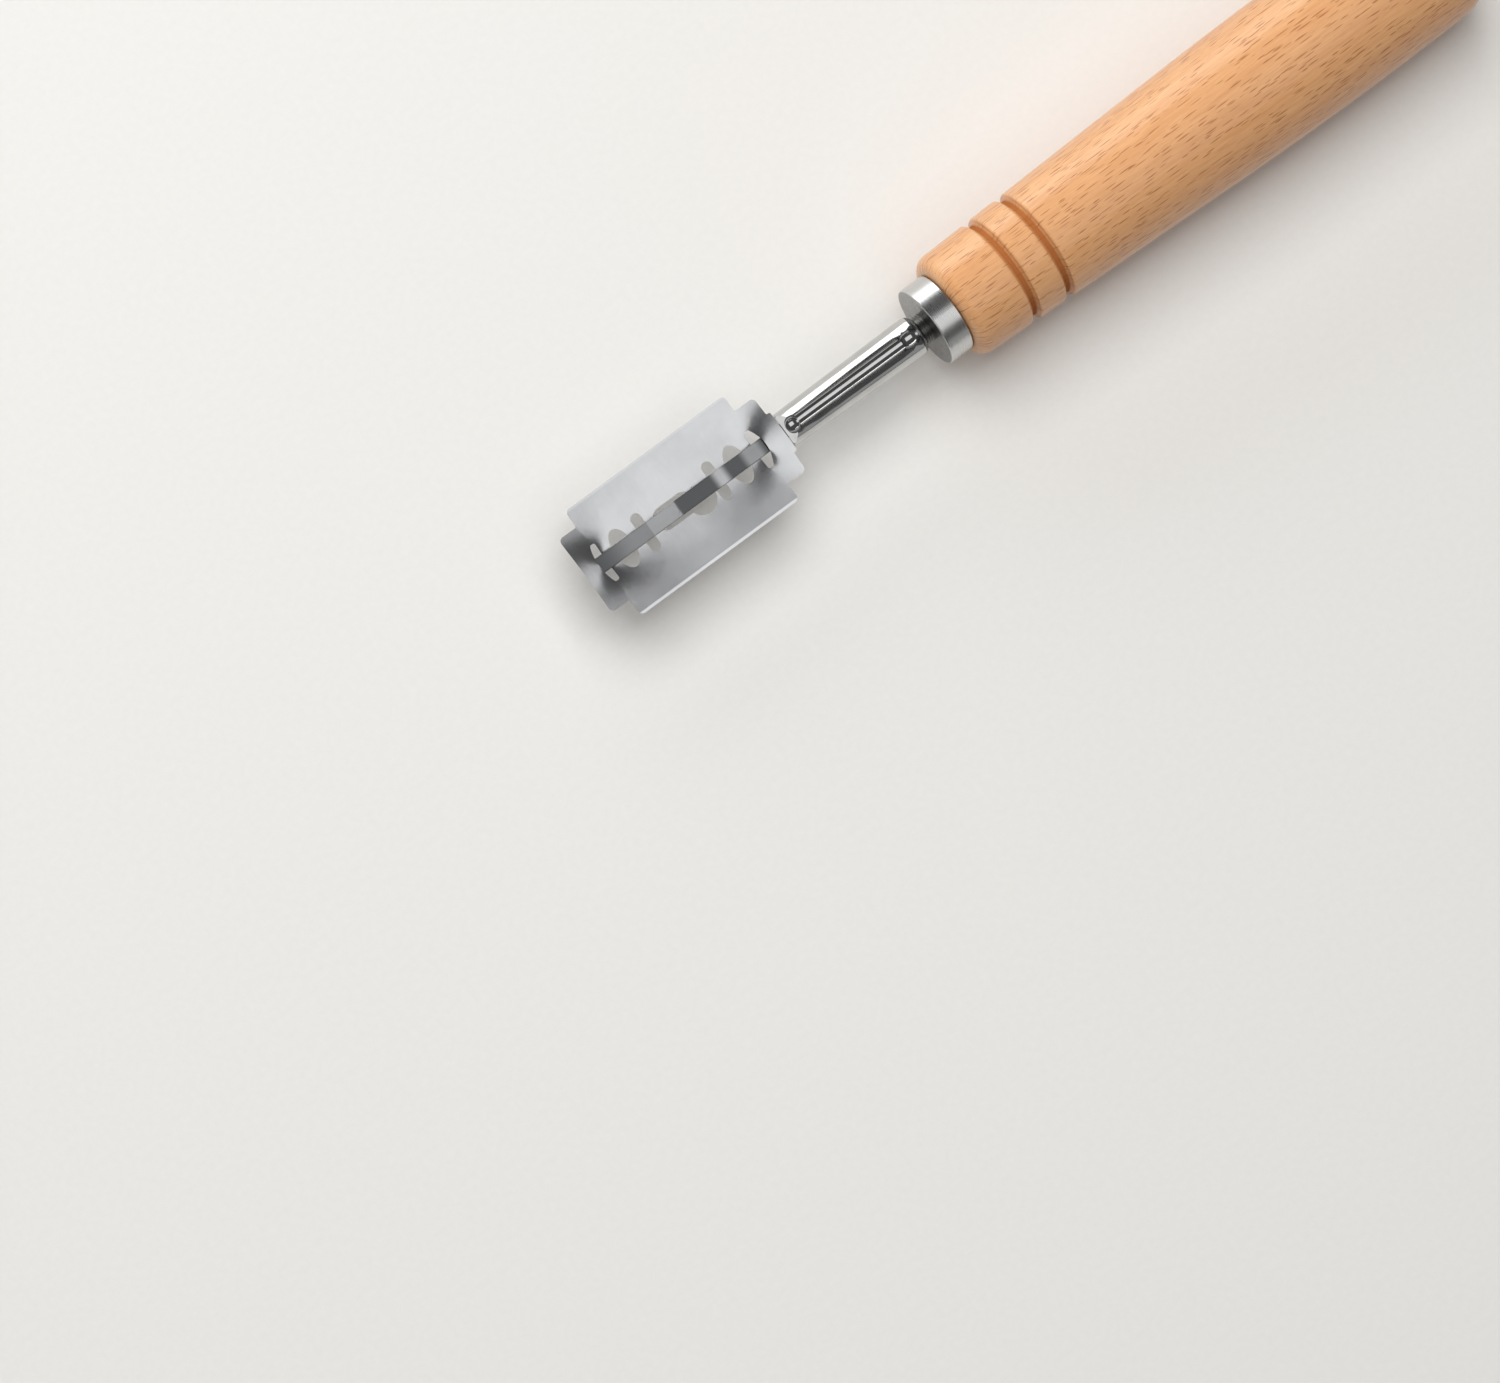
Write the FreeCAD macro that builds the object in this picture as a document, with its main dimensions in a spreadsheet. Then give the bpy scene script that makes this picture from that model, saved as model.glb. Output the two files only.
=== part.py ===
"""Bread lame: a turned beech handle, a cup ferrule, a fluted steel shank on a tang stud, and a flat bar
that carries a double-edge razor blade.

Units are millimetres. The tool's axis is X: the origin is the centre of the handle's flat butt face, +X runs
along the axis to the blade's tip, and +Z leaves the blade's upper face.
"""

import FreeCAD, Part
import Sketcher

import math
import os

OUT = "parts"
doc = FreeCAD.newDocument("bread_lame")
sheet = doc.addObject("Spreadsheet::Sheet", "sizes")


# ---- sizes: each one is a cell of the sheet, and carries its value and its expression ----


class Size:
    """A length with its value now and the expression that FreeCAD works it out from."""

    def __init__(self, value, text):
        self.value = float(value)
        self.text = text

    def __add__(self, other):
        other = as_size(other)
        return Size(self.value + other.value, f"({self.text} + {other.text})")

    def __sub__(self, other):
        other = as_size(other)
        return Size(self.value - other.value, f"({self.text} - {other.text})")

    def __mul__(self, other):
        other = as_size(other)
        return Size(self.value * other.value, f"({self.text} * {other.text})")

    def __truediv__(self, other):
        other = as_size(other)
        return Size(self.value / other.value, f"({self.text} / {other.text})")

    def __neg__(self):
        return Size(-self.value, f"(0 - {self.text})")

    def root(self):
        return Size(math.sqrt(self.value), f"sqrt({self.text})")


def as_size(number):
    return number if isinstance(number, Size) else Size(number, repr(float(number)))


def driving(alias, value, note):
    """Writes one driving dimension as a row of the sheet, and returns it."""
    driving.row += 1
    sheet.set(f"A{driving.row}", note)
    sheet.set(f"B{driving.row}", str(value))
    sheet.setAlias(f"B{driving.row}", alias)
    return Size(value, f"sizes.{alias}")


driving.row = 0

# Handle
handle_length = driving("handle_length", 112, "butt face to front face")
butt_radius = driving("butt_radius", 11.5, "radius at the butt before it is rounded")
butt_round = driving("butt_round", 7, "rounding of the butt edge")
belly_radius = driving("belly_radius", 12.15, "largest radius")
belly_from_butt = driving("belly_from_butt", 32, "butt face to the largest radius")
cone_from_butt = driving("cone_from_butt", 56, "butt face to where the belly runs into the straight taper")
front_step = driving("front_step", 2.4, "ferrule's radius to the radius at the front face")
front_round = driving("front_round", 2.4, "rounding of the front edge")
groove_one_back = driving("groove_one_back", 11.8, "front face to the first turned groove")
groove_two_back = driving("groove_two_back", 18.9, "front face to the second turned groove")
groove_radius = driving("groove_radius", 0.85, "radius of the bottom of the grooves' section")
groove_depth = driving("groove_depth", 1.1, "depth of the grooves")
lip_radius = driving("lip_radius", 0.55, "rounding of the grooves' lips")

# Ferrule
ferrule_radius = driving("ferrule_radius", 7.55, "outer radius")
ferrule_length = driving("ferrule_length", 4.8, "front face of the wood to the ferrule's face")
ferrule_wall = driving("ferrule_wall", 0.7, "side wall")
ferrule_face = driving("ferrule_face", 0.9, "thickness of the closed face")
ferrule_round = driving("ferrule_round", 0.3, "rounding of the face's edge")
rim_gap = driving("rim_gap", 0.15, "front face of the wood to the ferrule's open rim")
seat_gap = driving("seat_gap", 0.03, "radial gap of parts that are pushed or glued together")

# Tang stud
tang_radius = driving("tang_radius", 2.0, "radius of the stud in the handle")
tang_depth = driving("tang_depth", 38, "depth of the stud behind the front face of the wood")
neck_radius = driving("neck_radius", 2.7, "radius of the neck")
neck_gap = driving("neck_gap", 1.4, "ferrule's face to the shank's shoulder")
neck_ring_pitch = driving("neck_ring_pitch", 0.46, "pitch of the neck's rings")
neck_ring_radius = driving("neck_ring_radius", 0.15, "radius of the cuts between the rings")
barb_pitch = driving("barb_pitch", 3.5, "pitch of the glue grooves on the tang")
barb_radius = driving("barb_radius", 0.5, "radius of the glue grooves")
plug_radius = driving("plug_radius", 1.5, "radius of the stud in the shank")
plug_length = driving("plug_length", 7, "length of the stud in the shank")
bore_spare = driving("bore_spare", 1.5, "spare depth behind the stud in the handle and in the shank")

# Shank
shank_length = driving("shank_length", 29.6, "shoulder to the end of the nose")
shank_back_radius = driving("shank_back_radius", 3.78, "radius at the shoulder")
shank_nose_radius = driving("shank_nose_radius", 3.32, "radius at the nose")
shoulder_round = driving("shoulder_round", 1.5, "rounding of the shoulder")
nose_round = driving("nose_round", 0.4, "rounding of the nose")
flute_radius = driving("flute_radius", 1.35, "radius of the flute's section")
flute_depth = driving("flute_depth", 1.3, "depth of the flute under the shank's top")
rear_dimple_back = driving("rear_dimple_back", 2.9, "shoulder to the centre of the rear dimple")
rear_dimple_long = driving("rear_dimple_long", 2.15, "half length of the rear dimple")
rear_dimple_wide = driving("rear_dimple_wide", 1.6, "half width of the rear dimple")
rear_dimple_sink = driving("rear_dimple_sink", 0.1, "shank's top to the rear dimple's centre")
front_dimple_back = driving("front_dimple_back", 1.5, "end of the nose to the centre of the front dimple")
front_dimple_long = driving("front_dimple_long", 1.7, "half length of the front dimple")
front_dimple_wide = driving("front_dimple_wide", 1.6, "half width of the front dimple")
front_dimple_sink = driving("front_dimple_sink", 0.45, "shank's top to the front dimple's centre")
dimple_depth = driving("dimple_depth", 1.45, "depth of the dimples under the level of their centres")
scarf_foot = driving("scarf_foot", 1.5, "tool's axis to the foot of the slanted cut on the nose")
scarf_reach = driving("scarf_reach", 3, "reach of the slanted cut")

# Blade bar
bar_width = driving("bar_width", 2.9, "width")
bar_thickness = driving("bar_thickness", 0.7, "thickness")
bar_edge = driving("bar_edge", 0.12, "rounding of the long edges")
bar_tail = driving("bar_tail", 20, "length of the bar inside the shank")
bar_short = driving("bar_short", 1.0, "bar's tip to the end of the blade")
recess_length = driving("recess_length", 6.2, "length of the coined recess")
recess_width = driving("recess_width", 2.2, "width of the coined recess")
recess_depth = driving("recess_depth", 0.12, "depth of the coined recess")
recess_ahead = driving("recess_ahead", 3.95, "middle of the blade to the middle of the recess")

# Razor blade, a double-edge blade of the standard size, 43 by 22
tab_span = driving("tab_span", 42.3, "length over the end tabs")
tongue_length = driving("tongue_length", 0.7, "rear tab to the end of its tongue")
tongue_width = driving("tongue_width", 8, "width of the tongue")
blade_width = driving("blade_width", 22, "over the cutting edges")
blade_thickness = driving("blade_thickness", 0.1, "thickness")
edge_length = driving("edge_length", 34.4, "length of the cutting edges")
edge_grind = driving("edge_grind", 0.5, "width of the ground band along each cutting edge")
tab_width = driving("tab_width", 15.4, "width of the end tabs")
corner_round = driving("corner_round", 0.9, "rounding of the outer corners")
notch_round = driving("notch_round", 0.3, "rounding of the inner corners and of the tongue")
end_slot_inner = driving("end_slot_inner", 16.2, "middle of the blade to the straight side of each end slot")
end_slot_outer = driving("end_slot_outer", 18.1, "middle of the blade to each end slot's arched side")
end_slot_arch = driving("end_slot_arch", 8, "radius of the arched side")
end_slot_width = driving("end_slot_width", 7.5, "length of the end slots across the blade")
end_slot_round = driving("end_slot_round", 0.4, "rounding of the end slots' corners")
oval_at = driving("oval_at", 12.4, "middle of the blade to each oval hole")
oval_high = driving("oval_high", 3.8, "half height of the oval holes")
oval_long = driving("oval_long", 1.95, "half length of the oval holes")
notch_at = driving("notch_at", 7.7, "middle of the blade to each narrow hole")
notch_length = driving("notch_length", 7.6, "length of the narrow holes across the blade")
notch_width = driving("notch_width", 2.0, "width of the narrow holes along the blade")
lobe_radius = driving("lobe_radius", 2.75, "radius of the round lobe beside the middle")
lobe_behind = driving("lobe_behind", 3.65, "middle of the blade back to the lobe")
lobe_aside = driving("lobe_aside", 1.1, "tool's axis to the centre of the lobe")
middle_length = driving("middle_length", 8.4, "length of the wide slot in the middle")
middle_width = driving("middle_width", 4.3, "width of the wide slot in the middle")
middle_ahead = driving("middle_ahead", 1.4, "middle of the blade to the middle of the wide slot")
slot_width = driving("slot_width", 1.8, "width of the long slot that joins the holes")
blade_gap = driving("blade_gap", 0.1, "nose of the shank to the blade's tongue")
bow_radius = driving("bow_radius", 180, "radius of the blade's bow along the bar")
cross_bow = driving("cross_bow", 180, "radius of the blade's slight hollow across its width")
lift_at = driving("lift_at", 17.1, "middle of the blade to where it passes from under the bar to over it")
lift_run = driving("lift_run", 0.55, "half the run of that passage, over the bar's middle")
lift_spread = driving("lift_spread", 0.12, "growth of that run with the square of the distance from the axis")
tab_lift = driving("tab_lift", 0.78, "height of the ridge that the bar raises in the tabs")
ridge_width = driving("ridge_width", 6, "half width of that ridge")
press_depth = driving("press_depth", 0.82, "depth that the bar presses the blade down")
press_width = driving("press_width", 7, "half width of that dent")
press_run = driving("press_run", 8, "length over which that dent fades towards the middle")

# Places along the axis that several parts share
front_radius = ferrule_radius + front_step
tenon_radius = ferrule_radius - ferrule_wall - seat_gap
tenon_length = ferrule_length - ferrule_face
bore_radius = tang_radius + seat_gap
tang_end = handle_length - tang_depth
ferrule_front = handle_length + ferrule_length
shoulder = ferrule_front + neck_gap
nose = shoulder + shank_length
blade_back = nose + blade_gap + tongue_length
blade_middle = blade_back + tab_span / 2
blade_tip = blade_back + tab_span
bar_start = nose - bar_tail
bar_tip = blade_tip - bar_short


# ---- helpers ----


def bind(item, **sizes):
    """Binds properties of an object to expressions of the sheet."""
    for name, size in sizes.items():
        item.setExpression(name, as_size(size).text)
    return item


def place(item, x=0, y=0, z=0):
    """Binds an object's place to expressions of the sheet."""
    for axis, size in zip("xyz", (x, y, z)):
        item.setExpression(f"Placement.Base.{axis}", as_size(size).text)
    return item


def new_body(name):
    body = doc.addObject("PartDesign::Body", name)
    body.Label = name
    return body


def sketch_on(body, role, name):
    """A sketch on one of the body's own origin planes. On XZ_Plane its own axes are X and Z."""
    sketch = body.newObject("Sketcher::SketchObject", name)
    plane = next(f for f in body.Origin.OriginFeatures if f.Role == role)
    sketch.AttachmentSupport = [(plane, "")]
    sketch.MapMode = "FlatFace"
    return sketch


def constrain(sketch, kind, *where):
    """Adds a constraint whose last item may be a size, and binds it to that size."""
    *ends, last = where
    if isinstance(last, Size):
        number = sketch.addConstraint(Sketcher.Constraint(kind, *ends, last.value))
        sketch.setExpression(f"Constraints[{number}]", last.text)
    else:
        sketch.addConstraint(Sketcher.Constraint(kind, *where))


def fix_point(sketch, element, end, point):
    """Ties one end of an element to a point given as two sizes. A coordinate of 0 means on that axis."""
    x, y = point
    if isinstance(x, Size):
        constrain(sketch, "DistanceX", -1, 1, element, end, x)
    else:
        constrain(sketch, "PointOnObject", element, end, -2)
    if isinstance(y, Size):
        constrain(sketch, "DistanceY", -1, 1, element, end, y)
    else:
        constrain(sketch, "PointOnObject", element, end, -1)


def vector(point):
    return FreeCAD.Vector(as_size(point[0]).value, as_size(point[1]).value, 0)


def arc_between(start, end, radius, side):
    """The shorter arc of that radius from start to end. Side 1 bulges left of the way it runs, -1 right."""
    a, b = vector(start), vector(end)
    half = (b - a) * 0.5
    left = FreeCAD.Vector(-half.y, half.x, 0).normalize()
    rise = radius.value - math.sqrt(radius.value**2 - half.Length**2)
    return Part.Arc(a, a + half + left * rise * side, b)


def profile(sketch, start, *steps):
    """A closed outline. Each step is a point, reached in a line, or a point, its arc's radius and side."""
    here = start
    elements = []
    for step in steps:
        if isinstance(step[0], tuple):
            target, radius, side = step
            element = sketch.addGeometry(arc_between(here, target, radius, side))
            ends = (2, 1) if side > 0 else (1, 2)
            constrain(sketch, "Radius", element, radius)
        else:
            target = step
            element = sketch.addGeometry(Part.LineSegment(vector(here), vector(target)))
            ends = (1, 2)
        elements.append((element, ends))
        fix_point(sketch, element, ends[1], target)
        here = target
    for (element, ends), (last, last_ends) in zip(elements, elements[-1:] + elements[:-1]):
        constrain(sketch, "Coincident", element, ends[0], last, last_ends[1])


def revolve(body, sketch, kind, name):
    """Turns a sketch about its own horizontal axis, which lies on the tool's axis."""
    feature = body.newObject(f"PartDesign::{kind}", name)
    feature.Profile = (sketch, [""])
    feature.ReferenceAxis = (sketch, ["H_Axis"])
    feature.Angle = 360
    sketch.Visibility = False
    doc.recompute()
    return feature


def rims(feature, *wanted):
    """Names of the circular edges at each (place along X, radius)."""
    found = []
    for number, edge in enumerate(feature.Shape.Edges, 1):
        curve = edge.Curve
        if not isinstance(curve, Part.Circle):
            continue
        if any(abs(curve.Center.x - x) < 0.02 and abs(curve.Radius - radius) < 0.02 for x, radius in wanted):
            found.append(f"Edge{number}")
    return sorted(set(found))


def round_rims(body, base, names, radius, label):
    fillet = body.newObject("PartDesign::Fillet", label)
    fillet.Base = (base, names)
    bind(fillet, Radius=radius)
    doc.recompute()
    return fillet


def repeat(body, feature, count, pitch, label):
    """Repeats a cut along the tool's axis."""
    axis = next(f for f in body.Origin.OriginFeatures if f.Role == "X_Axis")
    pattern = body.newObject("PartDesign::LinearPattern", label)
    pattern.Originals = [feature]
    pattern.Direction = (axis, [""])
    pattern.Occurrences = count
    bind(pattern, Length=pitch * (count - 1))
    body.Tip = pattern
    doc.recompute()
    return pattern


def ring_cut(body, x, radius, section, label):
    """A round-bottomed cut all round: its section is a circle centred on (x, radius)."""
    sketch = sketch_on(body, "XZ_Plane", label + "_section")
    circle = sketch.addGeometry(Part.Circle(vector((x, radius)), FreeCAD.Vector(0, 0, 1), section.value))
    fix_point(sketch, circle, 3, (x, radius))
    constrain(sketch, "Radius", circle, section)
    return revolve(body, sketch, "Groove", label)


def box(name, length, width, height, x, y, z):
    item = doc.addObject("Part::Box", name)
    bind(item, Length=length, Width=width, Height=height)
    return place(item, x, y, z)


def post(name, radius, height, x, y, z):
    """An upright cylinder."""
    item = doc.addObject("Part::Cylinder", name)
    bind(item, Radius=radius, Height=height)
    return place(item, x, y, z)


def join(name, items):
    fused = doc.addObject("Part::MultiFuse", name)
    fused.Shapes = items
    return fused


def cut(name, base, tool):
    result = doc.addObject("Part::Cut", name)
    result.Base = base
    result.Tool = tool
    result.Label = name
    return result


def slot_cutter(name, length, width, height, x, z, across):
    """An upright cutter with round ends, centred on x, that runs along the tool or across it."""
    run = length - width
    radius = width / 2
    if across:
        middle = box(name + "_middle", width, run, height, x - radius, -run / 2, z)
        ends = [post(f"{name}_end_{side}", radius, height, x, run * side / 2, z) for side in (-1, 1)]
    else:
        middle = box(name + "_middle", run, width, height, x - run / 2, -radius, z)
        ends = [post(f"{name}_end_{side}", radius, height, x + run * side / 2, 0, z) for side in (-1, 1)]
    return join(name, [middle, *ends])


# ---- the handle ----


def make_handle():
    """A turned blank with a tenon for the ferrule and a blind bore for the tang, rounded and grooved."""
    body = new_body("handle")
    run = cone_from_butt - belly_from_butt
    slope = (belly_radius - front_radius) / (handle_length - belly_from_butt - run / 2)
    drop = slope * run / 2
    cone_radius = belly_radius - drop
    belly_curve = (run * run + drop * drop) / (drop * 2)
    back_drop = belly_radius - butt_radius
    back_radius = (belly_from_butt * belly_from_butt + back_drop * back_drop) / (back_drop * 2)
    tenon_end = handle_length + tenon_length
    bore_end = tang_end - bore_spare

    sketch = sketch_on(body, "XZ_Plane", "handle_profile")
    profile(
        sketch,
        (0, 0),
        (0, butt_radius),
        ((belly_from_butt, belly_radius), back_radius, 1),
        ((cone_from_butt, cone_radius), belly_curve, 1),
        (handle_length, front_radius),
        (handle_length, tenon_radius),
        (tenon_end, tenon_radius),
        (tenon_end, bore_radius),
        (bore_end, bore_radius),
        (bore_end, 0),
        (0, 0),
    )
    blank = revolve(body, sketch, "Revolution", "handle_blank")
    butt = round_rims(body, blank, rims(blank, (0, butt_radius.value)), butt_round, "butt_rounding")
    front_rim = rims(butt, (handle_length.value, front_radius.value))
    round_rims(body, butt, front_rim, front_round, "front_rounding")

    def surface(x):
        """Radius of the straight taper at x."""
        return front_radius + (handle_length - x) * slope

    for label, back in (("front_groove", groove_one_back), ("back_groove", groove_two_back)):
        lipped_groove(body, handle_length - back, surface, label)
    return body


def lipped_groove(body, x, surface, label):
    """A turned groove at x with a round bottom and rounded lips, each arc tangent to the next."""
    bottom_height = groove_depth - groove_radius
    reach = groove_radius + lip_radius
    drop = bottom_height - lip_radius
    lip_out = (reach * reach - drop * drop).root()
    share = groove_radius / reach
    meet_out = lip_out * share
    meet_height = surface(x) - bottom_height + drop * share
    clear = surface(x) + groove_depth
    sketch = sketch_on(body, "XZ_Plane", label + "_section")
    profile(
        sketch,
        (x - lip_out, clear),
        (x - lip_out, surface(x - lip_out)),
        ((x - meet_out, meet_height), lip_radius, 1),
        ((x + meet_out, meet_height), groove_radius, -1),
        ((x + lip_out, surface(x + lip_out)), lip_radius, 1),
        (x + lip_out, clear),
        (x - lip_out, clear),
    )
    return revolve(body, sketch, "Groove", label)


# ---- the ferrule ----


def make_ferrule():
    """A pressed cup over the handle's tenon, with a hole in its face for the stud's neck."""
    body = new_body("ferrule")
    inner = ferrule_radius - ferrule_wall
    rim = handle_length + rim_gap
    hole = neck_radius + seat_gap
    back_of_face = ferrule_front - ferrule_face
    sketch = sketch_on(body, "XZ_Plane", "ferrule_profile")
    profile(
        sketch,
        (rim, inner),
        (rim, ferrule_radius),
        (ferrule_front, ferrule_radius),
        (ferrule_front, hole),
        (back_of_face, hole),
        (back_of_face, inner),
        (rim, inner),
    )
    cup = revolve(body, sketch, "Revolution", "ferrule_cup")
    face = round_rims(
        body, cup, rims(cup, (ferrule_front.value, ferrule_radius.value)), ferrule_round, "ferrule_face_edge"
    )
    round_rims(
        body, face, rims(face, (rim.value, ferrule_radius.value)), ferrule_round / 2, "ferrule_rim"
    )
    return body


# ---- the tang stud ----


def make_tang_stud():
    """A turned stud: a tang with glue grooves, a ringed neck and a plain end for the shank."""
    body = new_body("tang_stud")
    neck_start = handle_length + tenon_length + seat_gap
    stud_front = shoulder + plug_length
    point = tang_radius / 3
    sketch = sketch_on(body, "XZ_Plane", "stud_profile")
    profile(
        sketch,
        (tang_end, 0),
        (tang_end, tang_radius - point),
        (tang_end + point, tang_radius),
        (neck_start, tang_radius),
        (neck_start, neck_radius),
        (shoulder, neck_radius),
        (shoulder, plug_radius),
        (stud_front, plug_radius),
        (stud_front, 0),
        (tang_end, 0),
    )
    revolve(body, sketch, "Revolution", "stud_blank")
    barb = ring_cut(body, tang_end + barb_pitch, tang_radius + barb_radius / 2, barb_radius, "glue_groove")
    repeat(body, barb, 9, barb_pitch, "glue_grooves")
    ring = ring_cut(body, ferrule_front + neck_ring_pitch / 2, neck_radius, neck_ring_radius, "neck_ring")
    repeat(body, ring, 3, neck_ring_pitch, "neck_rings")
    return body


# ---- the shank ----


def make_shank():
    """A tapered rod with a pressed flute between two dimples, bored for the stud and slotted for the bar."""
    body = new_body("shank_blank")
    stud_bore_end = shoulder + plug_length + bore_spare
    bore = plug_radius + seat_gap
    sketch = sketch_on(body, "XZ_Plane", "shank_profile")
    profile(
        sketch,
        (shoulder, bore),
        (shoulder, shank_back_radius),
        (nose, shank_nose_radius),
        (nose, 0),
        (stud_bore_end, 0),
        (stud_bore_end, bore),
        (shoulder, bore),
    )
    rod = revolve(body, sketch, "Revolution", "shank_rod")
    back = round_rims(
        body, rod, rims(rod, (shoulder.value, shank_back_radius.value)), shoulder_round, "shank_shoulder"
    )
    front = round_rims(
        body, back, rims(back, (nose.value, shank_nose_radius.value)), nose_round, "shank_nose"
    )

    scarf = sketch_on(body, "XZ_Plane", "scarf_outline")
    profile(
        scarf,
        (nose, scarf_foot),
        (nose + scarf_reach, scarf_foot),
        (nose + scarf_reach, scarf_foot + scarf_reach),
        (nose - scarf_reach, scarf_foot + scarf_reach),
        (nose, scarf_foot),
    )
    pocket = body.newObject("PartDesign::Pocket", "scarf")
    pocket.Profile = (scarf, [""])
    pocket.SideType = "Symmetric"
    bind(pocket, Length=shank_back_radius * 4)
    doc.recompute()
    if pocket.Shape.Volume >= front.Shape.Volume:
        raise RuntimeError("the scarf cut nothing from the shank's nose")

    flute_start = shoulder + rear_dimple_back
    flute_end = nose - front_dimple_back
    slope = (shank_back_radius - shank_nose_radius) / shank_length

    def top(x):
        """Height of the shank's top line at x."""
        return shank_back_radius - (x - shoulder) * slope

    lift = flute_radius - flute_depth
    flute_axis = top(flute_start) + lift
    flute = post("flute_cutter", flute_radius, flute_end - flute_start, flute_start, 0, flute_axis)
    tilt = math.degrees(math.atan(slope.value))
    flute.Placement.Rotation = FreeCAD.Rotation(FreeCAD.Vector(0, 1, 0), 90 + tilt)

    dimples = []
    for name, x, sink, long, wide in (
        ("rear_dimple", flute_start, rear_dimple_sink, rear_dimple_long, rear_dimple_wide),
        ("front_dimple", flute_end, front_dimple_sink, front_dimple_long, front_dimple_wide),
    ):
        dimple = doc.addObject("Part::Ellipsoid", name)
        dimple.Angle1 = -90
        dimple.Angle2 = 90
        bind(dimple, Radius1=wide, Radius2=long, Radius3=dimple_depth)
        place(dimple, x, 0, top(x) - sink)
        dimple.Placement.Rotation = FreeCAD.Rotation(FreeCAD.Vector(1, 0, 0), 90)
        dimples.append(dimple)

    bar_slot = box(
        "bar_slot_cutter",
        bar_tail + bore_spare * 2,
        bar_width + seat_gap * 2,
        bar_thickness + seat_gap * 2,
        bar_start - seat_gap,
        -bar_width / 2 - seat_gap,
        -bar_thickness / 2 - seat_gap,
    )
    return cut("shank", body, join("shank_cutters", [flute, *dimples, bar_slot]))


# ---- the blade bar ----


def make_blade_bar():
    """A flat strip with a round tip and a shallow coined recess, staked in the shank's slot."""
    radius = bar_width / 2
    straight = bar_tip - radius - bar_start
    bottom = -bar_thickness / 2
    strip = box("bar_strip", straight, bar_width, bar_thickness, bar_start, -radius, bottom)
    tip = post("bar_round_tip", radius, bar_thickness, bar_tip - radius, 0, bottom)
    blank = join("bar_blank", [strip, tip])
    blank.Refine = True
    doc.recompute()

    def is_flat_edge(edge):
        """An edge of the strip's upper or lower outline, apart from its hidden tail end."""
        low, high = edge.BoundBox.ZMin, edge.BoundBox.ZMax
        return high - low < 1e-6 and edge.BoundBox.XMax > bar_start.value + 1e-3

    rounded = doc.addObject("Part::Fillet", "bar_rounded")
    rounded.Base = blank
    numbers = [n for n, edge in enumerate(blank.Shape.Edges, 1) if is_flat_edge(edge)]
    rounded.Edges = [(n, bar_edge.value, bar_edge.value) for n in numbers]

    recess_x = blade_middle + recess_ahead
    recess = slot_cutter(
        "bar_recess",
        recess_length,
        recess_width,
        bar_thickness,
        recess_x,
        bar_thickness / 2 - recess_depth,
        across=False,
    )
    return cut("blade_bar", rounded, recess)


# ---- the razor blade ----


def blade_height(x, y):
    """Height of the sprung blade's middle surface. x is measured from the blade's middle.

    The blade is bowed along the bar and, as any bowed sheet is, a little the other way across it. Past each
    end slot the bar lies under the blade and raises a ridge in the tab. Before the slot it lies on the blade
    and presses it down.
    """
    past = abs(x) - lift_at.value
    bow = (x**2 - lift_at.value**2) / (2 * bow_radius.value) + y**2 / (2 * cross_bow.value)
    run = lift_run.value + lift_spread.value * y**2
    over = (1 + math.tanh(past / run)) / 2
    ridge = tab_lift.value * over * math.exp(-((y / ridge_width.value) ** 2))
    fade = math.exp(min(past, 0) / press_run.value)
    dent = press_depth.value * (1 - over) * fade * math.exp(-((y / press_width.value) ** 2))
    return bow + ridge - dent


def through(points, degree):
    """The curve through evenly spaced points. Curves with as many points get the same knots."""
    curve = Part.BSplineCurve()
    if degree == 1:
        curve.buildFromPolesMultsKnots(points, [2, 2], [0, 1], False, 1)
    else:
        curve.interpolate(Points=points, Parameters=[n / (len(points) - 1) for n in range(len(points))])
    return curve


def skin(rows, degree):
    """The surface through a grid of points: smooth along the blade, and of that degree across it."""
    across = [through(row, degree) for row in rows]
    along = [through(list(column), 3) for column in zip(*(curve.getPoles() for curve in across))]
    surface = Part.BSplineSurface()
    surface.buildFromPolesMultsKnots(
        [curve.getPoles() for curve in along],
        across[0].getMultiplicities(),
        along[0].getMultiplicities(),
        across[0].getKnots(),
        along[0].getKnots(),
        False,
        False,
        across[0].Degree,
        along[0].Degree,
    )
    return surface


def make_sprung_sheet():
    """The blade's steel as a bowed sheet, a little larger than the blade's outline.

    It is ground thin towards both cutting edges.
    """
    reach = tab_span.value / 2 + tongue_length.value + seat_gap.value
    edge = blade_width.value / 2 + seat_gap.value
    flat = blade_width.value / 2 - edge_grind.value
    half = blade_thickness.value / 2
    thin = half / 8
    stations = [reach * (n / 32 - 1) for n in range(65)]
    wide = [flat * (n / 10 - 1) for n in range(21)]

    def strip(corners, degree):
        return skin(
            [
                [FreeCAD.Vector(blade_middle.value + x, y, blade_height(x, y) + up) for y, up in corners]
                for x in stations
            ],
            degree,
        )

    surfaces = [
        strip([(y, half) for y in wide], 3),
        strip([(flat, half), (edge, thin)], 1),
        strip([(edge, thin), (edge, -thin)], 1),
        strip([(edge, -thin), (flat, -half)], 1),
        strip([(y, -half) for y in reversed(wide)], 3),
        strip([(-flat, -half), (-edge, -thin)], 1),
        strip([(-edge, -thin), (-edge, thin)], 1),
        strip([(-edge, thin), (-flat, half)], 1),
    ]
    faces = [surface.toShape() for surface in surfaces]
    for end in (0, 1):
        faces.append(Part.Face(Part.Wire([surface.vIso(end).toShape() for surface in surfaces])))
    shell = Part.Shell(faces)
    shell.sewShape()
    solid = Part.Solid(shell)
    if solid.Volume < 0:
        solid.reverse()
    sheet_body = doc.addObject("Part::Feature", "sprung_sheet")
    sheet_body.Shape = solid
    return sheet_body


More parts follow.
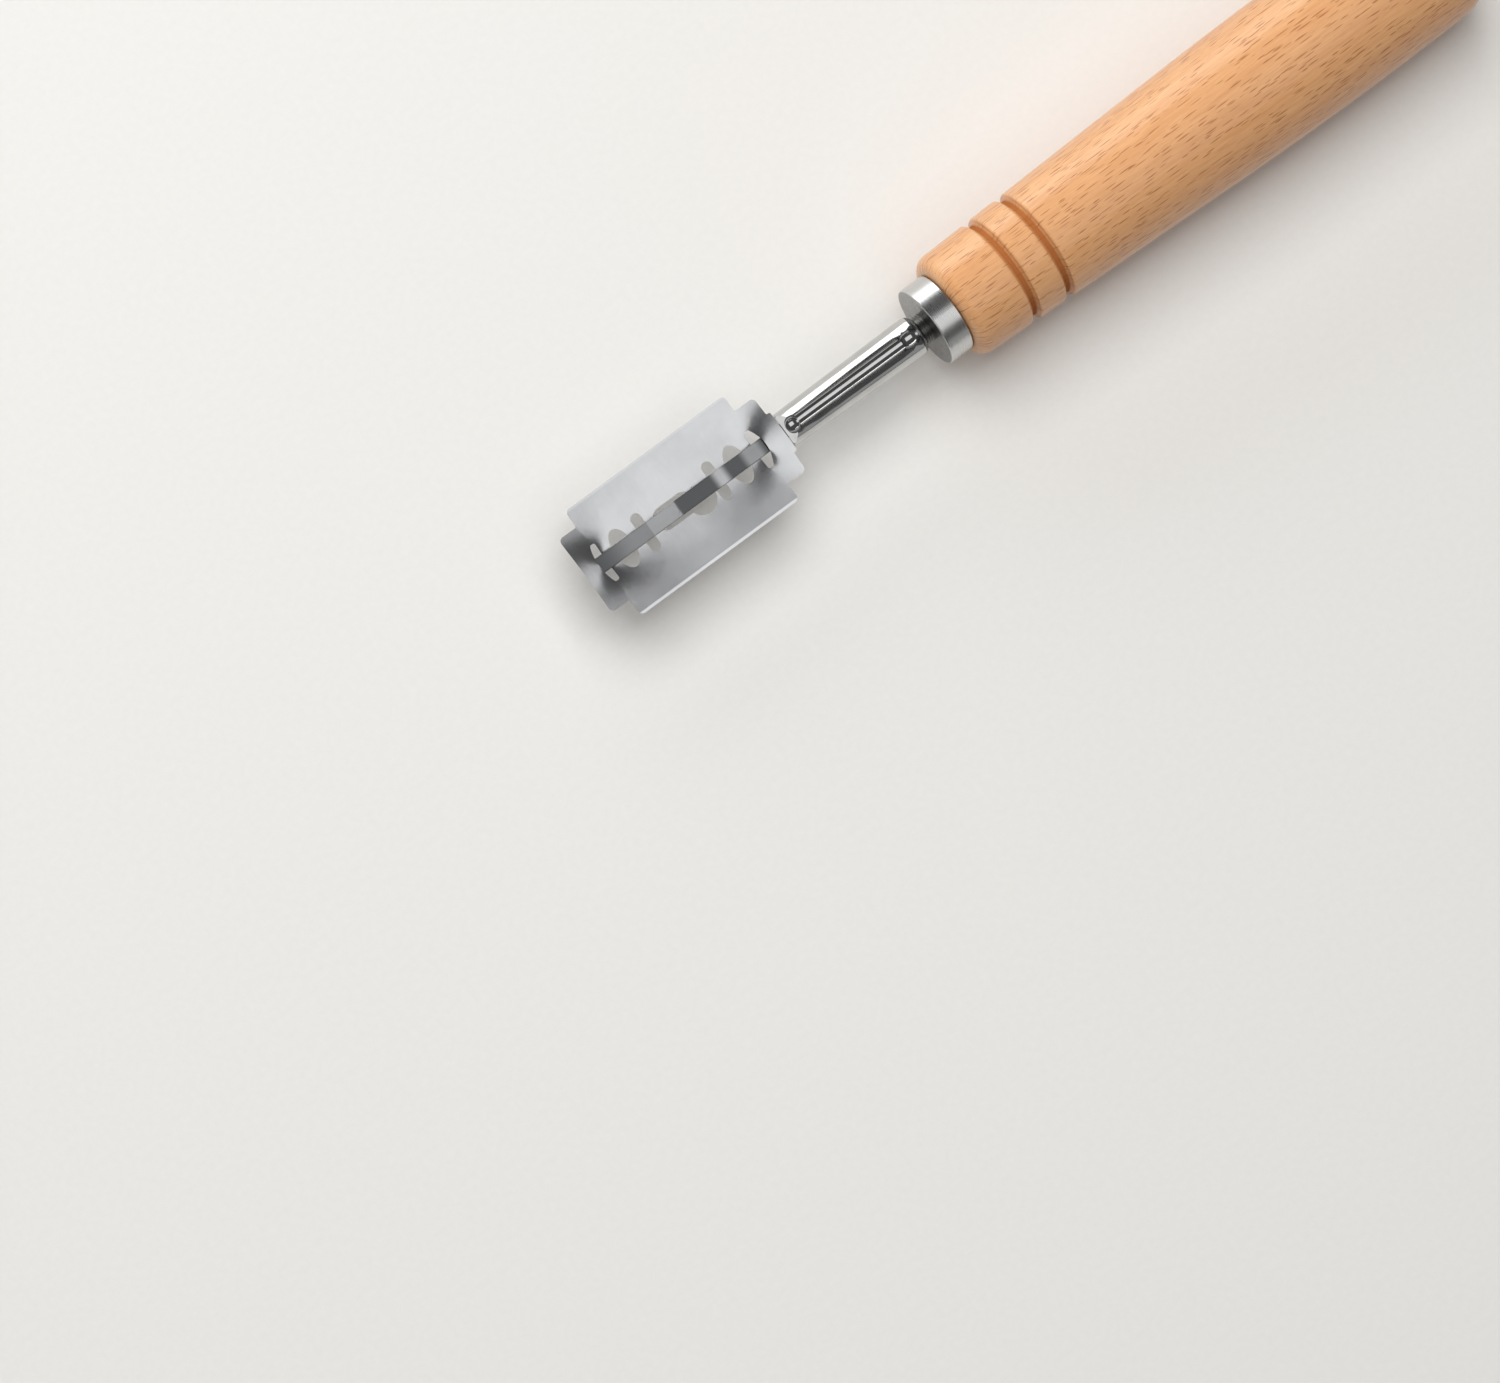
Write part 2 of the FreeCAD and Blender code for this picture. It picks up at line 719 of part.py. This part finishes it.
def make_end_slot(side, way, low, high):
    """An upright cutter for the end slot on that side: straight near the middle, arched near the end."""
    inner = blade_middle + end_slot_inner * way
    length = end_slot_arch
    start = inner if way > 0 else inner - length
    block = box(f"{side}_end_block", length, end_slot_width, high, start, -end_slot_width / 2, low)
    arch_x = blade_middle + (end_slot_outer - end_slot_arch) * way
    arch = post(f"{side}_end_arch", end_slot_arch, high, arch_x, 0, low)
    sharp = doc.addObject("Part::Common", f"{side}_end_sharp")
    sharp.Base = block
    sharp.Tool = arch
    doc.recompute()
    upright = [n for n, e in enumerate(sharp.Shape.Edges, 1) if e.BoundBox.ZLength > high.value / 2]
    slot = doc.addObject("Part::Fillet", f"{side}_end_slot")
    slot.Base = sharp
    slot.Edges = [(n, end_slot_round.value, end_slot_round.value) for n in upright]
    return slot


def make_blade_outline():
    """An upright block with the blade's outline and its cut-outs."""
    high = bow_radius / 15
    low = -high / 2
    middle = blade_middle
    edges_back = middle - edge_length / 2
    tongue_back = blade_back - tongue_length
    edges = box("blade_edges", edge_length, blade_width, high, edges_back, -blade_width / 2, low)
    tabs = box("blade_tabs", tab_span, tab_width, high, blade_back, -tab_width / 2, low)
    tongue = box("blade_tongue", tab_width, tongue_width, high, tongue_back, -tongue_width / 2, low)
    plain = join("blade_plain", [edges, tabs, tongue])
    plain.Refine = True
    doc.recompute()

    def rounding(edge):
        """The rounding of an upright corner: small beside the tabs and on the tongue."""
        centre = edge.BoundBox.Center
        beside_tab = abs(abs(centre.x - middle.value) - edge_length.value / 2) < 0.01
        inner = beside_tab and abs(abs(centre.y) - tab_width.value / 2) < 0.01
        on_tongue = abs(abs(centre.y) - tongue_width.value / 2) < 0.01
        return notch_round.value if inner or on_tongue else corner_round.value

    upright = [(n, e) for n, e in enumerate(plain.Shape.Edges, 1) if e.BoundBox.ZLength > high.value / 2]
    rounded = doc.addObject("Part::Fillet", "blade_rounded")
    rounded.Base = plain
    rounded.Edges = [(n, rounding(e), rounding(e)) for n, e in upright]

    middle_x = middle + middle_ahead
    cutters = [
        slot_cutter("long_slot", lift_at * 2, slot_width, high, middle, low, across=False),
        slot_cutter("middle_slot", middle_length, middle_width, high, middle_x, low, across=False),
        post("lobe", lobe_radius, high, middle - lobe_behind, lobe_aside, low),
    ]
    for side, way in (("back", -1), ("front", 1)):
        cutters.append(make_end_slot(side, way, low, high))
        notch_x = middle + notch_at * way
        notch = slot_cutter(f"{side}_notch", notch_length, notch_width, high, notch_x, low, across=True)
        cutters.append(notch)
        outline = doc.addObject("Part::Ellipse", f"{side}_oval_outline")
        bind(outline, MajorRadius=oval_high, MinorRadius=oval_long)
        place(outline, middle + oval_at * way, 0, low)
        outline.Placement.Rotation = FreeCAD.Rotation(FreeCAD.Vector(0, 0, 1), 90)
        oval = doc.addObject("Part::Extrusion", f"{side}_oval")
        oval.Base = outline
        oval.DirMode = "Custom"
        oval.Dir = FreeCAD.Vector(0, 0, 1)
        oval.Solid = True
        bind(oval, LengthFwd=high)
        cutters.append(oval)
    return cut("blade_outline", rounded, join("blade_cutouts", cutters))


def make_razor_blade():
    """The part of the sprung sheet that lies inside the blade's outline."""
    blade = doc.addObject("Part::Common", "razor_blade")
    blade.Base = make_sprung_sheet()
    blade.Tool = make_blade_outline()
    blade.Label = "razor_blade"
    return blade


# ---- build, test and write ----


def check(nodes):
    """Stops the build if any object failed or any node isn't one valid solid."""
    for item in doc.Objects:
        if "Invalid" in item.State or "Error" in item.State:
            raise RuntimeError(f"{item.Label} failed: {item.State}")
    for node in nodes:
        shape = node.Shape
        if shape.isNull() or not shape.isValid() or len(shape.Solids) != 1:
            raise RuntimeError(f"{node.Label} is not one valid solid")
        box_of = shape.BoundBox
        print(
            f"{node.Label:12s} {shape.Volume:10.2f} mm3  x {box_of.XMin:7.2f} {box_of.XMax:7.2f}"
            f"  y {box_of.YMin:6.2f} {box_of.YMax:6.2f}  z {box_of.ZMin:6.2f} {box_of.ZMax:6.2f}"
        )


nodes = [
    make_handle(),
    make_ferrule(),
    make_tang_stud(),
    make_shank(),
    make_blade_bar(),
    make_razor_blade(),
]
doc.recompute()
check(nodes)
os.makedirs(OUT, exist_ok=True)
for node in nodes:
    node.Shape.exportStep(f"{OUT}/{node.Label}.step")
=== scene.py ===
"""Looks for the bread lame: materials, floor, light and camera. Lengths are in millimetres."""

import math

import bpy
from mathutils import Matrix, Vector

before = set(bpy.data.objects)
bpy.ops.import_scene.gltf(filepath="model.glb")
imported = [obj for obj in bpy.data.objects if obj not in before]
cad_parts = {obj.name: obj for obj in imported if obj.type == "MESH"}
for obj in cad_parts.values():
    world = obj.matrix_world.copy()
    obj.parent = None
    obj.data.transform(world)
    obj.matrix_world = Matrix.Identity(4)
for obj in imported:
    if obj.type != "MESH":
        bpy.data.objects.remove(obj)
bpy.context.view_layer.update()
MM = 0.001

# ---- places along the tool, from the butt face, as in the CAD ----

GROOVES = (100.2, 93.1)
FERRULE_FRONT = 116.8
BLADE_EDGE = 11.0
GROUND_BAND = 0.5
HANDLE_RADIUS = 11.0
FLOOR = -12.15
NECK = 130

# Painted reflections on the bar, painted into its colour: bright bands, with the steel between them painted
# darker. Columns: place, half length, how far each fades, and how bright it is.
BAR_PAINTED_REFLECTIONS = (
    (178.5, 1.0, 9.0, 0.3),
    (173.7, 2.9, 3.3, 0.5),
    (161.3, 0.3, 1.9, 0.7),
    (154.4, 1.0, 2.6, 0.4),
)

# Layers of flecks in the wood: their spacing along the grain, their spacing around it, and a seed.
FLECK_LAYERS = ((5.4, 1.2, 0.0), (4.3, 0.95, 37.0), (6.2, 1.5, 71.0))
FLECK_DEEP = 14


# ---- a small language for shader nodes ----


class Tree:
    """Builds one material's nodes. Values are sockets or plain numbers."""

    def __init__(self, name):
        self.material = bpy.data.materials.new(name)
        self.material.use_nodes = True
        self.nodes = self.material.node_tree.nodes
        self.links = self.material.node_tree.links
        self.shader = self.nodes["Principled BSDF"]
        point = self.nodes.new("ShaderNodeTexCoord").outputs["Object"]
        self.point = self.vector("SCALE", point, scale=1 / MM)
        self.x, self.y, self.z = self.split(self.point)

    def put(self, socket, value):
        if isinstance(value, bpy.types.NodeSocket):
            self.links.new(value, socket)
        else:
            socket.default_value = value

    def math(self, operation, a, b=0.0, c=0.0, clamp=False):
        node = self.nodes.new("ShaderNodeMath")
        node.operation = operation
        node.use_clamp = clamp
        for socket, value in zip(node.inputs, (a, b, c)):
            self.put(socket, value)
        return node.outputs[0]

    def vector(self, operation, a, b=(0, 0, 0), scale=1.0):
        node = self.nodes.new("ShaderNodeVectorMath")
        node.operation = operation
        self.put(node.inputs[0], a)
        if operation == "SCALE":
            self.put(node.inputs["Scale"], scale)
        else:
            self.put(node.inputs[1], b)
        return node.outputs["Value"] if operation in ("LENGTH", "DOT_PRODUCT") else node.outputs[0]

    def split(self, value):
        node = self.nodes.new("ShaderNodeSeparateXYZ")
        self.put(node.inputs[0], value)
        return tuple(node.outputs)

    def join(self, x, y, z):
        node = self.nodes.new("ShaderNodeCombineXYZ")
        for socket, value in zip(node.inputs, (x, y, z)):
            self.put(socket, value)
        return node.outputs[0]

    def stretched(self, x, y, z):
        """The point with each axis scaled."""
        return self.vector("MULTIPLY", self.point, (x, y, z))

    def noise(self, at, scale=1.0, detail=2.0, roughness=0.5, distortion=0.0):
        node = self.nodes.new("ShaderNodeTexNoise")
        self.put(node.inputs["Vector"], at)
        node.inputs["Scale"].default_value = scale
        node.inputs["Detail"].default_value = detail
        node.inputs["Roughness"].default_value = roughness
        node.inputs["Distortion"].default_value = distortion
        return node.outputs["Fac"]

    def remap(self, value, low, high, to_low=0.0, to_high=1.0, smooth=False):
        node = self.nodes.new("ShaderNodeMapRange")
        node.interpolation_type = "SMOOTHSTEP" if smooth else "LINEAR"
        for name, number in (("From Min", low), ("From Max", high), ("To Min", to_low), ("To Max", to_high)):
            node.inputs[name].default_value = number
        self.put(node.inputs["Value"], value)
        return node.outputs["Result"]

    def mix(self, factor, a, b, blend="MIX"):
        node = self.nodes.new("ShaderNodeMix")
        node.data_type = "RGBA"
        node.blend_type = blend
        self.put(node.inputs[0], factor)
        self.put(node.inputs[6], a)
        self.put(node.inputs[7], b)
        return node.outputs[2]

    def near(self, value, place, inner, outer):
        """1 where value is within inner of the place, falling to 0 at outer."""
        distance = self.math("ABSOLUTE", self.math("SUBTRACT", value, place))
        return self.remap(distance, outer, inner, smooth=True)

    def bump(self, height, depth_mm, strength=1.0):
        node = self.nodes.new("ShaderNodeBump")
        node.inputs["Strength"].default_value = strength
        node.inputs["Distance"].default_value = depth_mm * MM
        self.put(node.inputs["Height"], height)
        self.links.new(node.outputs[0], self.shader.inputs["Normal"])

    def set(self, **inputs):
        for name, value in inputs.items():
            self.put(self.shader.inputs[name.replace("_", " ")], value)


def colour(red, green, blue):
    """An sRGB colour of 0 to 255 as linear light."""
    parts = [number / 255 for number in (red, green, blue)]
    linear = [p / 12.92 if p < 0.04045 else ((p + 0.055) / 1.055) ** 2.4 for p in parts]
    return (*linear, 1.0)


def darker(tint, share):
    """The tint with that share of its light."""
    return (tint[0] * share, tint[1] * share, tint[2] * share, 1.0)


# ---- materials ----


def beech():
    """Lacquered beech: soft rings, fine pores and short dark ray flecks along the grain."""
    tree = Tree("beech")
    wander = tree.noise(tree.stretched(0.02, 0.1, 0.1), detail=1.0)
    bent_y = tree.math("MULTIPLY_ADD", wander, 5.0, tree.y)
    ring_at = tree.join(
        tree.math("MULTIPLY", tree.x, 0.006),
        tree.math("MULTIPLY", bent_y, 0.05),
        tree.math("MULTIPLY", tree.z, 0.35),
    )
    rings = tree.noise(ring_at, scale=1.0, detail=3.0)
    fibre = tree.noise(tree.stretched(0.12, 2.6, 2.6), detail=4.0, roughness=0.6)
    pores = tree.noise(tree.stretched(0.5, 9.0, 9.0), detail=2.0)

    tan = tree.mix(tree.remap(rings, 0.3, 0.7), colour(208, 148, 97), colour(230, 178, 127))
    tan = tree.mix(tree.remap(fibre, 0.35, 0.75, 0.0, 0.5), tan, colour(190, 126, 74))
    tan = tree.mix(tree.remap(pores, 0.62, 0.8, 0.0, 0.45), tan, colour(160, 104, 62))

    turn = tree.math("MULTIPLY", tree.math("ARCTAN2", tree.y, tree.z), HANDLE_RADIUS)
    skin = tree.join(tree.x, turn, tree.vector("LENGTH", tree.stretched(0, 1, 1)))
    flecks = 0.0
    for long, thin, seed in FLECK_LAYERS:
        cells = tree.nodes.new("ShaderNodeTexVoronoi")
        cells.inputs["Randomness"].default_value = 1.0
        cells.inputs["Scale"].default_value = 1.0
        at = tree.vector("MULTIPLY", skin, (1 / long, 1 / thin, 1 / FLECK_DEEP))
        at = tree.vector("ADD", at, (seed, seed, seed))
        tree.put(cells.inputs["Vector"], at)
        chance = tree.split(cells.outputs["Color"])
        dx, dy, _ = tree.split(tree.vector("SUBTRACT", at, cells.outputs["Position"]))
        half_long = tree.remap(chance[0], 0.0, 1.0, 0.8 / long, 1.9 / long)
        half_thin = tree.remap(chance[1], 0.0, 1.0, 0.06 / thin, 0.12 / thin)
        along = tree.math("DIVIDE", dx, half_long)
        taper = tree.math("SUBTRACT", 1.0, tree.math("MULTIPLY", along, along), clamp=True)
        across = tree.math("DIVIDE", tree.math("ABSOLUTE", dy), half_thin)
        inside = tree.math("SUBTRACT", taper, across)
        lens = tree.remap(inside, -0.05, 0.25, smooth=True)
        chosen = tree.remap(chance[2], 0.4, 0.55)
        flecks = tree.math("MAXIMUM", flecks, tree.math("MULTIPLY", lens, chosen))
    tan = tree.mix(tree.math("MULTIPLY", flecks, 0.75), tan, colour(152, 90, 40))

    # Painted shade in the grooves: their colour is mixed towards dark brown. They also get less coat and
    # specular.
    groove = 0.0
    for place in GROOVES:
        groove = tree.math("MAXIMUM", groove, tree.near(tree.x, place, 0.3, 0.85))
    tan = tree.mix(tree.math("MULTIPLY", groove, 0.85), tan, colour(150, 84, 38))

    bare = tree.math("SUBTRACT", 1.0, groove)
    tree.set(Base_Color=tan, Coat_Roughness=0.25, Specular_IOR_Level=tree.math("MULTIPLY", bare, 0.4))
    tree.set(Coat_Weight=tree.math("MULTIPLY", bare, 0.6))
    tree.set(Roughness=tree.remap(fibre, 0.2, 0.8, 0.38, 0.55))
    turning = tree.noise(tree.stretched(3.0, 0.05, 0.05), detail=2.0)
    relief = tree.math("ADD", tree.math("MULTIPLY", pores, 0.6), tree.math("MULTIPLY", turning, 0.4))
    relief = tree.math("SUBTRACT", relief, tree.math("MULTIPLY", flecks, 0.15))
    tree.bump(relief, 0.02, strength=0.6)
    return tree.material


def turned_steel(name, tint, roughness, ring_depth, face=None):
    """Steel with fine rings about the tool's axis, on its sides and on its faces.

    Ahead of the place called face its colour is painted darker: painted shade standing in for the darker
    reflection of the cap's closed front.
    """
    tree = Tree(name)
    radius = tree.vector("LENGTH", tree.stretched(0, 1, 1))
    turn = tree.math("ARCTAN2", tree.y, tree.z)
    ringed = (tree.math("MULTIPLY", tree.x, 9.0), tree.math("MULTIPLY", radius, 9.0))
    at = tree.join(*ringed, tree.math("MULTIPLY", turn, 0.8))
    rings = tree.noise(at, detail=3.0, roughness=0.7)
    blotch = tree.noise(tree.stretched(0.35, 0.35, 0.35), detail=2.0)
    shade = tree.mix(tree.remap(rings, 0.3, 0.7), darker(tint, 0.92), tint)
    # Painted shade on the closed front of the cap: ahead of face the colour is mixed towards dark grey.
    if face:
        painted_face_shade = tree.remap(tree.x, face - 0.06, face)
        shade = tree.mix(tree.math("MULTIPLY", painted_face_shade, 0.7), shade, colour(96, 96, 97))
    tree.set(Base_Color=shade, Metallic=1.0)
    mixed = tree.math("ADD", tree.math("MULTIPLY", rings, 0.08), tree.math("MULTIPLY", blotch, 0.08))
    tree.set(Roughness=tree.math("ADD", mixed, roughness - 0.08))
    tree.bump(rings, ring_depth, strength=0.25)
    return tree.material


def polished_steel(name, tint, roughness, bands=()):
    """Polished steel with faint lengthwise hairlines and smudges, and painted reflections: bright bands,
    with painted shade darker between them.

    The bands are listed as BAR_PAINTED_REFLECTIONS is. Without any, the steel is bright all over.
    """
    tree = Tree(name)
    hairs = tree.noise(tree.stretched(0.25, 14.0, 14.0), detail=3.0, roughness=0.7)
    smudge = tree.noise(tree.stretched(0.25, 0.5, 0.5), detail=3.0)
    shade = tree.mix(tree.remap(smudge, 0.3, 0.7), darker(tint, 0.86), tint)
    # Painted reflections: each band paints the steel bright along the bar, and between the bands it is
    # painted darker.
    bright = 0.0
    for place, inner, outer, strength in bands:
        band = tree.math("MULTIPLY", tree.near(tree.x, place, inner, outer), strength)
        bright = tree.math("MAXIMUM", bright, band)
    if bands:
        shade = tree.mix(bright, colour(86, 87, 88), shade)
    tree.set(Base_Color=shade, Metallic=1.0)
    mixed = tree.math("ADD", tree.math("MULTIPLY", hairs, 0.06), tree.math("MULTIPLY", smudge, 0.1))
    tree.set(Roughness=tree.math("ADD", mixed, roughness - 0.08))
    tree.bump(hairs, 0.004, strength=0.35)
    return tree.material


def blade_steel():
    """Satin blade steel with a fine grain across it and slightly brighter ground bands at its edges."""
    tree = Tree("blade_steel")
    band = BLADE_EDGE - GROUND_BAND
    ground = tree.remap(tree.math("ABSOLUTE", tree.y), band, band + 0.1)
    grain = tree.noise(tree.stretched(9.0, 0.35, 0.35), detail=3.0, roughness=0.65)
    cloud = tree.noise(tree.stretched(0.12, 0.12, 0.12), detail=3.0)
    shade = tree.mix(tree.remap(cloud, 0.3, 0.7), colour(200, 201, 203), colour(214, 215, 217))
    shade = tree.mix(tree.math("MULTIPLY", ground, 0.25), shade, colour(228, 229, 231))
    tree.set(Base_Color=shade, Metallic=1.0)
    satin = tree.math("ADD", tree.math("MULTIPLY", grain, 0.1), 0.2)
    tree.set(Roughness=tree.math("SUBTRACT", satin, tree.math("MULTIPLY", ground, 0.08)))
    tree.bump(grain, 0.004, strength=0.3)
    return tree.material


def floor_paper():
    """Pale matt paper."""
    tree = Tree("floor_paper")
    tooth = tree.noise(tree.stretched(0.8, 0.8, 0.8), detail=4.0)
    shade = tree.mix(tooth, colour(226, 224, 220), colour(232, 230, 226))
    tree.set(Base_Color=shade, Roughness=0.85, Specular_IOR_Level=0.2)
    tree.bump(tooth, 0.05, strength=0.3)
    return tree.material


FINISHES = {
    "handle": beech(),
    # The ferrule's front face is painted darker, as painted shade.
    "ferrule": turned_steel("ferrule_steel", colour(210, 210, 209), 0.28, 0.012, FERRULE_FRONT),
    # The stud's dark tint is painted shade for the narrow neck between the shank and the ferrule.
    "tang_stud": turned_steel("stud_steel", colour(130, 129, 127), 0.32, 0.01),
    "shank": polished_steel("shank_steel", colour(205, 205, 204), 0.1),
    # The bar's bright and dark bands are painted reflections.
    "blade_bar": polished_steel("bar_steel", colour(205, 206, 207), 0.17, BAR_PAINTED_REFLECTIONS),
    "razor_blade": blade_steel(),
}
for node, finish in FINISHES.items():
    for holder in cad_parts[node].material_slots:
        holder.material = finish


# ---- floor, light and camera ----

UNDER = 0.2
bpy.ops.mesh.primitive_plane_add(size=6.0, location=(0.1, 0, (FLOOR - UNDER) * MM))
floor = bpy.context.object
floor.name = "floor"
floor.data.materials.append(floor_paper())

TILT = math.radians(13.0)
AXIS_IN_VIEW = math.radians(36.33)
to_camera = Vector((math.sin(TILT), 0, math.cos(TILT)))
along = (Vector((-1, 0, 0)) + to_camera * math.sin(TILT)) / math.cos(TILT)
aside = along.cross(to_camera)
right = along * math.cos(AXIS_IN_VIEW) + aside * math.sin(AXIS_IN_VIEW)
up = along * math.sin(AXIS_IN_VIEW) - aside * math.cos(AXIS_IN_VIEW)

# The picture's width stands for this many millimetres at the tool.
LENS = 800.0
SENSOR = 36
PICTURE_SPAN = 1500 / 5.86
distance = LENS / SENSOR * PICTURE_SPAN * MM
aim = (Vector((187.33, 0, 0)) + along * 7.7 + aside * 32.45) * MM
camera = bpy.data.objects.new("camera", bpy.data.cameras.new("camera"))
bpy.context.scene.collection.objects.link(camera)
camera.data.lens = LENS
camera.data.sensor_width = SENSOR
camera.data.clip_start = 0.05
camera.data.clip_end = 40
turned = Matrix((right, up, to_camera)).transposed().to_4x4()
camera.matrix_world = Matrix.Translation(aim + to_camera * distance) @ turned
bpy.context.scene.camera = camera


def soft_light(name, across, height, away, width, tall, power):
    """A soft light aimed at the neck of the tool, with its distance and size in metres.

    Across and height are its direction from there, as tilts in degrees from straight up towards +X and -Y.
    """
    light = bpy.data.lights.new(name, "AREA")
    light.shape = "RECTANGLE"
    light.size = width
    light.size_y = tall
    light.energy = power
    lamp = bpy.data.objects.new(name, light)
    bpy.context.scene.collection.objects.link(lamp)
    centre = Vector((NECK, 0, 0)) * MM
    tilt_x = math.radians(across)
    tilt_y = math.radians(height)
    flat = math.cos(tilt_x)
    back = Vector((math.sin(tilt_x), -flat * math.sin(tilt_y), flat * math.cos(tilt_y)))
    sideways = Vector((1, 0, 0)) - back * back.x
    sideways.normalize()
    turned = Matrix((sideways, back.cross(sideways), back)).transposed().to_4x4()
    lamp.matrix_world = Matrix.Translation(centre + back * away) @ turned
    return lamp


soft_light("key", 0, 84, 0.8, 0.8, 0.7, 4.8)
soft_light("ceiling", -1, -14, 0.9, 0.8, 0.7, 1.8)
soft_light("rim", -5, -78, 0.9, 0.8, 0.3, 0.22)
soft_light("front", 77, 0, 0.8, 0.5, 0.4, 0.6)

# The fill lights the wood and the floor, and is kept out of the metals' reflections.
fill = soft_light("fill", 0, 24, 1.2, 1.0, 1.0, 13.5)
fill.visible_glossy = False

world = bpy.data.worlds.new("studio")
bpy.context.scene.world = world
world.use_nodes = True
world.node_tree.nodes["Background"].inputs["Color"].default_value = (1.0, 1.0, 1.0, 1)
world.node_tree.nodes["Background"].inputs["Strength"].default_value = 0.09
bpy.context.scene.view_settings.view_transform = "Standard"
